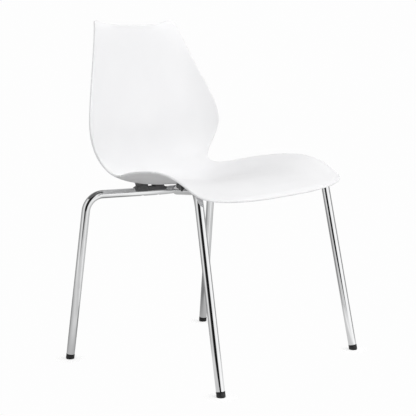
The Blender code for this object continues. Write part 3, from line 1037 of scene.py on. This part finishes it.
        normal = tree.add("GeometryNodeInputNormal").outputs[0]
        at_border = tree.math("GREATER_THAN", tree.math("ABSOLUTE", loft.side), self.border)
        on_side = tree.math("MULTIPLY", at_border, facing)
        last = tree.math("SUBTRACT", tree.given("Stations"), 0.5)
        on_end = tree.math("SUBTRACT", tree.math("LESS_THAN", loft.station, 0.5),
                           tree.math("GREATER_THAN", loft.station, last))
        side_out = tree.vector("NORMALIZE", tree.vector("CROSS_PRODUCT", normal, side_run))
        end_out = tree.vector("NORMALIZE", tree.vector("CROSS_PRODUCT", normal, end_run))
        outward = tree.vector("NORMALIZE", tree.vector("ADD", tree.scaled(side_out, on_side),
                                                       tree.scaled(end_out, on_end)))
        skin = loft.skin
        for name, value in (("skin", tree.position), ("face", normal), ("outward", outward)):
            skin = tree.stored(skin, name, value, "FLOAT_VECTOR")
        return skin

    def closed(self, tree: GeometryRecipe, skin: Socket) -> Socket:
        """Draw the rim out of the skin's border in a half round, and add the underside.

        Args:
            tree: The recipe that is written to.
            skin: The skin with its directions stored.

        Returns:
            The closed shell.
        """
        half = tree.math("MULTIPLY", tree.given("Thickness"), 0.5)
        face, outward = tree.kept("face", "FLOAT_VECTOR"), tree.kept("outward", "FLOAT_VECTOR")
        core = tree.vector("SUBTRACT", tree.kept("skin", "FLOAT_VECTOR"), tree.scaled(face, half))
        neighbours = tree.add("GeometryNodeInputMeshEdgeNeighbors").outputs[0]
        front = tree.add("FunctionNodeCompare", {2: neighbours, 3: 1}, data_type="INT",
                         operation="EQUAL").outputs[0]
        rimmed = skin
        for step in range(1, self.rim_steps + 1):
            angle = math.pi * step / self.rim_steps
            pulled = tree.add("GeometryNodeExtrudeMesh", {"Mesh": rimmed, "Selection": front,
                                                          "Offset Scale": 0.0}, mode="EDGES")
            front = pulled.outputs["Top"]
            up = tree.scaled(face, tree.math("MULTIPLY", half, math.cos(angle)))
            out = tree.scaled(outward, tree.math("MULTIPLY", half, math.sin(angle)))
            place = tree.vector("ADD", core, tree.vector("ADD", up, out))
            rimmed = tree.moved(pulled.outputs["Mesh"], place, front)
            rimmed = tree.stored(rimmed, "rim", 1.0, selection=front)
        drop = tree.scaled(face, tree.given("Thickness"))
        under = tree.moved(skin, tree.vector("SUBTRACT", tree.position, drop))
        under = tree.add("GeometryNodeFlipFaces", {0: under}).outputs[0]
        return tree.add("GeometryNodeMergeByDistance", {"Geometry": tree.together(rimmed, under),
                                                        "Distance": self.join_distance}).outputs[0]

    def recipe(self) -> GeometryRecipe:
        """Tree that lofts the skin between two guide lines, thickens it and rounds its rim.

        Returns:
            The tree.
        """
        tree = GeometryRecipe("moulded_shell", {
            "Middle line": "Object", "Edge line": "Object", "Stations": "Int", "Columns": "Int",
            "Section power": "Float", "Edge crowding": "Float", "Thickness": "Float"})
        tree.end_with(self.closed(tree, self.faced(tree, self.lofted(tree))))
        return tree

    def build(self, datum: Datum, finish: bpy.types.Material) -> bpy.types.Object:
        """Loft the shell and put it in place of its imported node.

        Args:
            datum: Where the design's datum lies.
            finish: Its material.

        Returns:
            The finished shell.
        """
        middle = [Vector((0.0, y, z)) / MILLIMETRES_PER_METRE for (y, z), _ in self.rows]
        edge = [Vector(point) / MILLIMETRES_PER_METRE for _, point in self.rows]
        guides = [line_object("shell_middle", self.line(middle, datum)),
                  line_object("shell_edge", self.line(edge, datum))]
        shell = self.recipe().make("moulded_seat_shell", {
            "Middle line": guides[0], "Edge line": guides[1], "Stations": self.stations,
            "Columns": self.columns, "Section power": self.section_power,
            "Edge crowding": self.edge_crowding, "Thickness": self.thickness, "Finish": finish})
        for guide in guides:
            bpy.data.objects.remove(guide)
        for name in ("side", "station", "skin", "face", "outward"):
            shell.data.attributes.remove(shell.data.attributes[name])
        settle(shell)
        return enrol(dress(shell, finish), "white_plastic", "seat_shell")


@dataclass
class Glide:
    """Push-in foot glide: a domed foot with a waist under its collar, cut flat at the floor."""

    end: End
    side: Side
    radius: float = 0.00975
    height: float = 0.012
    sole_sink: float = 0.0012
    rounding: float = 0.0045
    collar: float = 0.0022
    groove: float = 0.0004
    stem_radius: float = 0.0072
    stem_length: float = 0.018
    stem_chamfer: float = 0.002
    sides: int = 64
    crisp: float = math.radians(40)

    def profile(self, lean: float) -> Profile:
        """Half outline on the leg's axis, from the sole up to the stem's end.

        Args:
            lean: The angle between the leg's axis and the upright.

        Returns:
            The (radius, height) pairs.
        """
        bottom = -self.sole_sink - self.radius * math.tan(lean)
        shoulder = self.height - TOUCH_GAP
        points = [(0.0, bottom)]
        points += rounded((self.radius - self.rounding, bottom + self.rounding), self.rounding,
                          -math.pi / 2)
        low = shoulder - self.collar
        points += [(self.radius, low - self.groove), (self.radius - self.groove, low),
                   (self.radius, low + self.groove)]
        points += rounded((self.radius - self.groove, shoulder - self.groove), self.groove, 0.0, 3)
        top = shoulder + self.stem_length
        points += [(self.stem_radius, shoulder), (self.stem_radius, top - self.stem_chamfer),
                   (self.stem_radius - self.stem_chamfer, top), (0.0, top)]
        return points

    def build(self, tube: BentTube, datum: Datum, finish: bpy.types.Material) -> bpy.types.Object:
        """Turn the glide, stand it in its leg and cut its sole at the floor.

        Args:
            tube: The tube whose foot it closes.
            datum: Where the design's datum lies.
            finish: Its material.

        Returns:
            The finished glide.
        """
        axis = tube.axis.copy()
        foot = tube.foot + datum.shift
        axis.x *= self.side.value
        foot.x *= self.side.value
        name = f"foot_glide_{self.end.value}_{self.side.word}"
        glide = turned(name, self.profile(axis.angle(UP)), self.sides)
        turn = UP.rotation_difference(axis).to_matrix().to_4x4()
        glide.data.transform(Matrix.Translation(foot) @ turn)

        def cut_flat(bm: bmesh.types.BMesh) -> None:
            """Slice off what is under the floor and close the sole.

            Args:
                bm: The glide's mesh.
            """
            cut = bmesh.ops.bisect_plane(bm, geom=bm.verts[:] + bm.edges[:] + bm.faces[:],
                                         plane_co=(0, 0, 0), plane_no=(0, 0, 1), clear_inner=True)
            rim = [e for e in cut["geom_cut"] if isinstance(e, bmesh.types.BMEdge)]
            bmesh.ops.contextual_create(bm, geom=rim)

        settle(glide, cut_flat, self.crisp)
        node = f"glide_{self.end.value}_{self.side.word}"
        return enrol(dress(glide, finish), "black_glide", node)


@dataclass
class Saddle:
    """Twin-lug saddle between tube and shell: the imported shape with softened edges."""

    end: End
    side: Side
    edge_radius: float = 0.0005
    edge_steps: int = 3
    flat: float = math.radians(1)
    rounded_past: float = math.radians(35)
    crisp: float = math.radians(50)

    def build(self, finish: bpy.types.Material) -> bpy.types.Object:
        """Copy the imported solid, clean it and round its edges.

        Args:
            finish: Its material.

        Returns:
            The finished saddle.
        """
        node = f"saddle_{self.end.value}_{self.side.word}"
        saddle = add_object(f"lug_{node}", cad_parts[node].data.copy())

        def clean(bm: bmesh.types.BMesh) -> None:
            """Turn coplanar triangles back into whole faces."""
            bmesh.ops.dissolve_limit(bm, angle_limit=self.flat, verts=bm.verts, edges=bm.edges)

        settle(saddle, clean)
        soften = saddle.modifiers.new("soften", "BEVEL")
        soften.width = self.edge_radius
        soften.segments = self.edge_steps
        soften.limit_method = "ANGLE"
        soften.angle_limit = self.rounded_past
        soften.use_clamp_overlap = True
        settle(saddle, sharp=self.crisp)
        return enrol(dress(saddle, finish), "dark_plastic", node)


@dataclass
class WeldBead:
    """Rippled bead in the valley where the two tubes lie against each other."""

    above: bool
    half_length: float = 0.011
    half_width: float = 0.0030
    half_height: float = 0.0024
    offset: float = 0.0060
    ripples: float = 11.0
    ripple_depth: float = 0.00025
    segments: int = 40
    rings: int = 96

    def build(self, rear: BentTube, datum: Datum, finish: bpy.types.Material) -> bpy.types.Object:
        """Lay the bead along the line of contact.

        Args:
            rear: The rear tube.
            datum: Where the design's datum lies.
            finish: Its material.

        Returns:
            The finished bead.
        """
        tree = GeometryRecipe("weld_ripples", {"Half size": "Vector", "Middle": "Vector",
                                               "Ripples": "Float", "Ripple depth": "Float"})
        ball = tree.add("GeometryNodeMeshUVSphere", {"Segments": self.segments, "Rings": self.rings,
                                                     "Radius": 1.0}).outputs[0]
        x, y, z = tree.split(tree.position)
        phase = tree.math("MULTIPLY", z, tree.math("MULTIPLY", tree.given("Ripples"), math.pi))
        wave = tree.math("ABSOLUTE", tree.math("SINE", phase))
        swell = tree.math("MULTIPLY", wave, tree.given("Ripple depth"))
        turned_over = tree.joined(z, x, y)
        sized = tree.vector("MULTIPLY", turned_over, tree.given("Half size"))
        bumped = tree.vector("ADD", sized, tree.scaled(turned_over, swell))
        tree.end_with(tree.moved(ball, tree.vector("ADD", bumped, tree.given("Middle"))))
        way = 1 if self.above else -1
        contact = rear.bow_y - rear.radius - TOUCH_GAP / 2
        place = Vector((0.0, contact, rear.bow_height + way * self.offset))
        name = "weld_bead_upper" if self.above else "weld_bead_lower"
        bead = tree.make(name, {"Half size": (self.half_length, self.half_width, self.half_height),
                                "Middle": tuple(place + datum.shift), "Ripples": self.ripples,
                                "Ripple depth": self.ripple_depth, "Finish": finish})
        return enrol(dress(settle(bead), finish), "chrome_tube")


@dataclass
class Fixings:
    """The eight button-head screws, and the shell's eight bosses that take their inserts."""

    shank: float = 0.0025
    head: float = 0.00425
    head_height: float = 0.003
    dome: float = 0.0012
    socket: float = 0.0017
    socket_depth: float = 0.0018
    thread_pitch: float = 0.0008
    thread_depth: float = 0.0003
    insert_radius: float = 0.0039
    boss_wall: float = 0.00205
    boss_drop: float = 0.0030
    boss_root: float = 0.0025
    boss_edge: float = 0.0003
    head_edge: float = 0.0002
    tip_taper: float = 0.0005
    plain_pitches: int = 3
    dome_steps: int = 6
    sides: int = 36
    socket_sides: int = 6
    boss_sides: int = 48
    crisp: float = math.radians(30)

    @staticmethod
    def names() -> list[str]:
        """The end of every fixing's node names."""
        return [f"{end.value}_{side.word}_{lug.value}" for end in End for side in Side for lug in Lug]

    def stood(self, name: str, pattern: bpy.types.Object, places: Sequence[Vector],
              finish: bpy.types.Material) -> bpy.types.Object:
        """Stand a copy of one part at every place, and use the part up.

        Args:
            name: The name of the piece that all the copies make.
            pattern: The part, at the origin.
            places: Where the copies stand.
            finish: Their material.

        Returns:
            The piece.
        """
        tree = GeometryRecipe(f"{name}_copies", {"Places": "Object", "Part": "Object"})
        copies = tree.add("GeometryNodeInstanceOnPoints", {"Points": tree.shape_of("Places"),
                                                           "Instance": tree.shape_of("Part")})
        tree.end_with(copies.outputs[0])
        guide = line_object(f"{name}_places", places)
        piece = tree.make(name, {"Places": guide, "Part": pattern, "Finish": finish})
        for used in (guide, pattern):
            bpy.data.objects.remove(used)
        return dress(settle(piece, sharp=self.crisp), finish)

    def screw(self, length: float) -> bpy.types.Object:
        """One screw, head down, from its head's underside at z = 0, with a six-sided socket.

        Args:
            length: From the head's underside to the tip.

        Returns:
            The screw.
        """
        low = -self.head_height
        points = [(0.0, low)]
        points += [(self.head - self.dome * (1 - math.sin(a)), low + self.dome * (1 - math.cos(a)))
                   for a in (math.pi / 2 * k / self.dome_steps for k in range(self.dome_steps + 1))]
        points += [(self.head, -self.head_edge), (self.head - self.head_edge, 0.0), (self.shank, 0.0)]
        height = self.plain_pitches * self.thread_pitch
        while height < length - self.thread_pitch:
            points += [(self.shank, height),
                       (self.shank - self.thread_depth, height + self.thread_pitch / 2)]
            height += self.thread_pitch
        points += [(self.shank, height), (self.shank - self.tip_taper, length), (0.0, length)]
        screw = turned("screw_pattern", points, self.sides)
        floor = low + self.socket_depth
        hollow = [(0.0, 2 * low), (self.socket, 2 * low), (self.socket, floor), (0.0, floor)]
        drive = turned("screw_drive", hollow, self.socket_sides)
        settle(drive)
        cut = screw.modifiers.new("socket", "BOOLEAN")
        cut.operation = "DIFFERENCE"
        cut.solver = "EXACT"
        cut.object = drive
        settle(screw, sharp=self.crisp)
        bpy.data.objects.remove(drive)
        return screw

    def build_screws(self, finish: bpy.types.Material) -> bpy.types.Object:
        """Stand a screw in each fixing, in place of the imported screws.

        Args:
            finish: Their material.

        Returns:
            The eight screws as one piece.
        """
        boxes = [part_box(f"screw_{name}") for name in self.names()]
        length = min(high.z - low.z for low, high in boxes) - self.head_height
        places = [middle_of(low, high, low.z + self.head_height) for low, high in boxes]
        screws = self.stood("shell_screws", self.screw(length), places, finish)
        return enrol(screws, "zinc_steel", *(f"screw_{name}" for name in self.names()))

    def build_bosses(self, finish: bpy.types.Material) -> bpy.types.Object:
        """Hang a boss round each insert, rooted in the shell.

        Args:
            finish: Their material.

        Returns:
            The eight bosses as one piece.
        """
        boxes = [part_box(f"insert_{name}") for name in self.names()]
        places = [middle_of(low, high, low.z - TOUCH_GAP) for low, high in boxes]
        bore = self.insert_radius + TOUCH_GAP
        outer, root = bore + self.boss_wall, self.boss_drop + self.boss_root
        outline = [(bore, 0.0), (outer - self.boss_edge, 0.0), (outer, self.boss_edge), (outer, root),
                   (bore, root)]
        pattern = settle(turned("boss_pattern", outline, self.boss_sides))
        return enrol(self.stood("shell_bosses", pattern, places, finish), "white_plastic")


# The studio


@dataclass(frozen=True)
class Softbox:
    """A square light that faces the seat, hidden from reflections and from the camera."""

    name: str
    place: tuple[float, float, float]
    size: float
    power: float
    aim: tuple[float, float, float] = (0.0, 0.0, 0.4)

    def hang(self) -> None:
        """Add the light to the scene."""
        light = bpy.data.lights.new(self.name, "AREA")
        light.shape = "SQUARE"
        light.size = self.size
        light.energy = self.power
        lamp = add_object(self.name, light)
        lamp.location = self.place
        toward = Vector(self.aim) - Vector(self.place)
        lamp.rotation_euler = toward.to_track_quat("-Z", "Y").to_euler()
        lamp.visible_glossy = False
        lamp.visible_camera = False


@dataclass
class Studio:
    """Pale floor, soft light and the camera."""

    camera_place: Vector
    feet: list[Vector]
    camera_yaw: float = math.radians(-50.26)
    camera_pitch: float = math.radians(8.39)
    lens: float = 106.53
    sensor_width: float = 36.0
    white: float = 0.985
    ambient: float = 0.56
    floor_size: float = 14.0
    floor_matt: float = 0.38
    floor_glow: float = 0.65
    # painted shade: the floor's bounce colour is dark under the chair, so the seat's underside and its
    # reflections stay dark
    floor_under_chair: float = 0.04
    floor_in_open: float = 0.88
    ceiling: float = 0.12
    open_floor: tuple[float, float] = (0.22, 0.60)
    shadow_fade: tuple[float, float] = (0.014, 0.036)
    ground_reach: tuple[float, float] = (1.05, 1.65)
    bright_side: tuple[float, float, float] = (0.15, -0.80, 0.58)
    bright_gain: float = 0.35
    card_sides: int = 96
    wall_radius: float = 1.7
    wall_height: float = 1.8
    walls: tuple[tuple[float, float], ...] = (
        (-180, 0.50), (-140, 0.45), (-112, 0.22), (-100, 0.40), (-70, 0.62), (-52, 0.95), (-42, 0.55),
        (-30, 0.02), (14, 0.0), (20, 0.75), (34, 0.98), (76, 1.0), (92, 0.90), (96, 0.02), (106, 0.02),
        (110, 0.55), (120, 0.50), (140, 0.34), (180, 0.50))
    ground: tuple[tuple[float, float], ...] = (
        (-180, 0.45), (-135, 0.20), (-105, 0.25), (-75, 0.48), (-43, 0.68), (-14, 0.58), (14, 0.70),
        (43, 0.92), (75, 0.66), (130, 0.58), (180, 0.45))
    softboxes: tuple[Softbox, ...] = (Softbox("top_box", (0.2, -0.4, 3.0), 2.4, 32.0),
                                      Softbox("low_box", (-2.3, 0.9, 0.25), 0.9, 5.0),
                                      Softbox("key_box", (0.9, -2.9, 1.9), 1.8, 35.0))

    def sector_light(self, sketch: NodeSketch, direction: Socket,
                     sectors: Sequence[tuple[float, float]]) -> Socket:
        """Brightness round the chair, by the compass direction seen from it.

        Args:
            sketch: The tree to write to.
            direction: The direction, or a point round the chair.
            sectors: (degrees from the camera's side, brightness) pairs.

        Returns:
            The brightness.
        """
        x, y, _ = sketch.split(direction)
        home = self.camera_yaw - math.pi / 2
        bearing = sketch.math("SUBTRACT", sketch.math("ARCTAN2", y, x), home)
        wrapped = sketch.math("WRAP", bearing, -math.pi, math.pi)
        share = sketch.ranged(wrapped, (-math.pi, math.pi), (0.0, 1.0))
        return sketch.ramp(share, [((angle + 180) / 360, level) for angle, level in sectors])

    def build_world(self) -> None:
        """Plain white to the camera, soft fill for the surfaces and a dim ceiling for the reflections.
        """
        world = bpy.data.worlds.new("studio")
        world.use_nodes = True
        bpy.context.scene.world = world
        sketch = NodeSketch(world.node_tree)
        sketch.tree.nodes.clear()
        direction = sketch.add("ShaderNodeTexCoord").outputs["Generated"]
        ray = sketch.add("ShaderNodeLightPath").outputs
        lean = sketch.measured("DOT_PRODUCT", direction, self.bright_side)
        level = sketch.math("MULTIPLY_ADD", lean, self.ambient * self.bright_gain, self.ambient)
        fill = sketch.joined(level, level, level)
        seen = sketch.blended(ray["Is Glossy Ray"], fill, grey(self.ceiling))
        seen = sketch.blended(ray["Is Camera Ray"], seen, grey(self.white))
        back = sketch.add("ShaderNodeBackground", {0: seen, 1: 1.0})
        sketch.add("ShaderNodeOutputWorld", {0: back.outputs[0]})

    def plane(self, name: str, size: float, height: float) -> bpy.types.Object:
        """Lay a level square about the origin, as a piece of the stage.

        Args:
            name: The square's name.
            size: Its side.
            height: Its height.

        Returns:
            The square.
        """
        half = size / 2
        mesh = bpy.data.meshes.new(name)
        mesh.from_pydata([(-half, -half, height), (half, -half, height), (half, half, height),
                          (-half, half, height)], [], [(0, 1, 2, 3)])
        made = add_object(name, mesh)
        return made

    def build_floor(self) -> None:
        """Lay the floor: the camera sees its shadows near the feet, and the white elsewhere; the bounce
        that the chair sees is painted dark under the chair as painted shade.
        """
        floor = self.plane("floor", self.floor_size, 0.0)
        floor.visible_glossy = False
        paint, sketch = blank_material("floor_paint")
        place = sketch.add("ShaderNodeTexCoord").outputs["Object"]
        # The floor that the chair's surfaces see is painted dark under the chair, as painted shade for
        # the seat's underside, and it fades out to the open floor's colour.
        open_floor = sketch.ranged(sketch.measured("LENGTH", place), self.open_floor, (0.0, 1.0))
        painted_shade_tone = sketch.blended(open_floor, grey(self.floor_under_chair), grey(self.floor_in_open))
        bounce_with_painted_shade = sketch.add("ShaderNodeBsdfDiffuse", {0: painted_shade_tone}).outputs[0]
        faint = sketch.add("ShaderNodeBsdfDiffuse", {0: grey(self.floor_matt)}).outputs[0]
        glow = sketch.add("ShaderNodeEmission", {0: grey(1.0), 1: self.floor_glow}).outputs[0]
        shown = sketch.add("ShaderNodeAddShader", {0: faint, 1: glow}).outputs[0]
        ray = sketch.add("ShaderNodeLightPath").outputs["Is Camera Ray"]
        lit = sketch.add("ShaderNodeMixShader", {0: ray, 1: bounce_with_painted_shade, 2: shown}).outputs[0]
        clear = sketch.add("ShaderNodeBsdfTransparent").outputs[0]
        across, along, _ = sketch.split(place)
        folded = sketch.joined(sketch.math("ABSOLUTE", across), along, 0.0)
        gaps = [sketch.measured("DISTANCE", folded, (foot.x, foot.y, 0.0)) for foot in self.feet]
        away = sketch.ranged(sketch.math("MINIMUM", *gaps), self.shadow_fade, (0.0, 1.0))
        below = sketch.add("ShaderNodeNewGeometry").outputs["Backfacing"]
        fade = sketch.math("MULTIPLY", sketch.math("MAXIMUM", away, below), ray)
        whole = sketch.add("ShaderNodeMixShader", {0: fade, 1: lit, 2: clear}).outputs[0]
        sketch.add("ShaderNodeOutputMaterial", {0: whole})
        dress(floor, paint)

    def reflected_only(self, piece: bpy.types.Object) -> None:
        """Make a stage piece one that only reflections see, with the walls' levels farther out.

        Args:
            piece: The stage piece.
        """
        for flag in ("camera", "diffuse", "transmission", "volume_scatter", "shadow"):
            setattr(piece, f"visible_{flag}", False)
        glare, sketch = blank_material(f"{piece.name}_glare")
        place = sketch.add("ShaderNodeTexCoord").outputs["Object"]
        ground = self.sector_light(sketch, place, self.ground)
        walls = self.sector_light(sketch, place, self.walls)
        share = sketch.ranged(sketch.measured("LENGTH", place), self.ground_reach, (0.0, 1.0))
        shine = sketch.add("ShaderNodeEmission", {0: sketch.blended(share, ground, walls)})
        sketch.add("ShaderNodeOutputMaterial", {0: shine.outputs[0]})
        dress(piece, glare)

    def build_reflections(self) -> None:
        """Set up the floor and the ring of cards that only reflections see."""
        self.reflected_only(self.plane("floor_in_reflections", self.floor_size, 0.0))
        sides = self.card_sides
        ring = [radial(2 * math.pi * k / sides, self.wall_radius) for k in range(sides)]
        faces = [(k, k + sides, (k + 1) % sides + sides, (k + 1) % sides) for k in range(sides)]
        mesh = bpy.data.meshes.new("cards_in_reflections")
        mesh.from_pydata([(x, y, z) for z in (0.0, self.wall_height) for x, y in ring], [], faces)
        cards = add_object("cards_in_reflections", mesh)
        self.reflected_only(cards)

    def build_camera(self) -> None:
        """Set the camera that sees the chair from its front right."""
        yaw, pitch = self.camera_yaw, self.camera_pitch
        back = Vector((math.sin(yaw) * math.cos(pitch), -math.cos(yaw) * math.cos(pitch),
                       math.sin(pitch)))
        right = Vector((math.cos(yaw), math.sin(yaw), 0.0))
        turn = Matrix((right, back.cross(right), back)).transposed()
        data = bpy.data.cameras.new("camera")
        data.lens = self.lens
        data.sensor_width = self.sensor_width
        camera = add_object("camera", data)
        camera.matrix_world = Matrix.Translation(self.camera_place) @ turn.to_4x4()
        bpy.context.scene.camera = camera

    def build(self) -> None:
        """Set up the whole studio."""
        bpy.context.scene.view_settings.view_transform = "Standard"
        self.build_camera()
        self.build_world()
        self.build_floor()
        self.build_reflections()
        for box in self.softboxes:
            box.hang()


def main() -> None:
    """Build the chair's sub-assemblies in order, then the studio."""
    logging.basicConfig(level=logging.INFO, format="%(name)s: %(message)s")
    rear = BentTube(End.REAR, bend_track=0.4398, bend_y=0.1832, bend_height=0.383,
                    leg_lean=math.radians(6.8), bow_y=0.1075, bow_height=0.382, bow_radius=0.190)
    front = BentTube(End.FRONT, bend_track=0.4564, bend_y=-0.1490, bend_height=0.422,
                     leg_lean=math.radians(10.8), bow_y=0.0882, bow_height=0.382, bow_radius=0.060)
    datum = Datum.from_insert(rear.at(REAR_SADDLE_MIDDLE - LUG_PITCH / 2))
    LOG.info("the design's datum is %.4f m along Y", datum.shift.y)

    chrome = BrightChrome().build()
    plastic = MouldedWhite().build()
    dark = GrainedDark("saddle_grey", colour=(0.085, 0.085, 0.088), rubbed=(0.14, 0.14, 0.142),
                       rough=(0.42, 0.6), grain_cells=2600.0, grain_depth=0.00002).build()
    black = GrainedDark("glide_black", colour=(0.010, 0.010, 0.011), rubbed=(0.07, 0.07, 0.07),
                        rough=(0.32, 0.7), grain_cells=2000.0, grain_depth=0.00001,
                        scuff_height=0.0016).build()
    zinc = SmallMetal("zinc_plate", colour=(0.66, 0.67, 0.69), tarnish=(0.52, 0.53, 0.56),
                      rough=(0.22, 0.42)).build()
    brass = SmallMetal("turned_brass", colour=(0.78, 0.60, 0.32), tarnish=(0.60, 0.44, 0.22),
                       rough=(0.22, 0.4)).build()
    weld = BrightChrome("weld_chrome", mirror=(0.10, 0.26), wave_cells=500.0,
                        wave_depth=0.00003).build()

    SeatShell().build(datum, plastic)
    for tube in (rear, front):
        tube.build(datum, chrome)
        for side in Side:
            Saddle(tube.end, side).build(dark)
            Glide(tube.end, side).build(tube, datum, black)
    for above in (True, False):
        WeldBead(above).build(rear, datum, weld)
    fixings = Fixings()
    fixings.build_screws(zinc)
    fixings.build_bosses(plastic)
    for name in Fixings.names():
        dress(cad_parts[f"washer_{name}"], zinc)
        dress(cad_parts[f"insert_{name}"], brass)
    Studio(Vector((-2.161, -1.784, 0.7593)) + datum.shift,
           [tube.foot + datum.shift for tube in (rear, front)]).build()


if __name__ == "__main__":
    main()
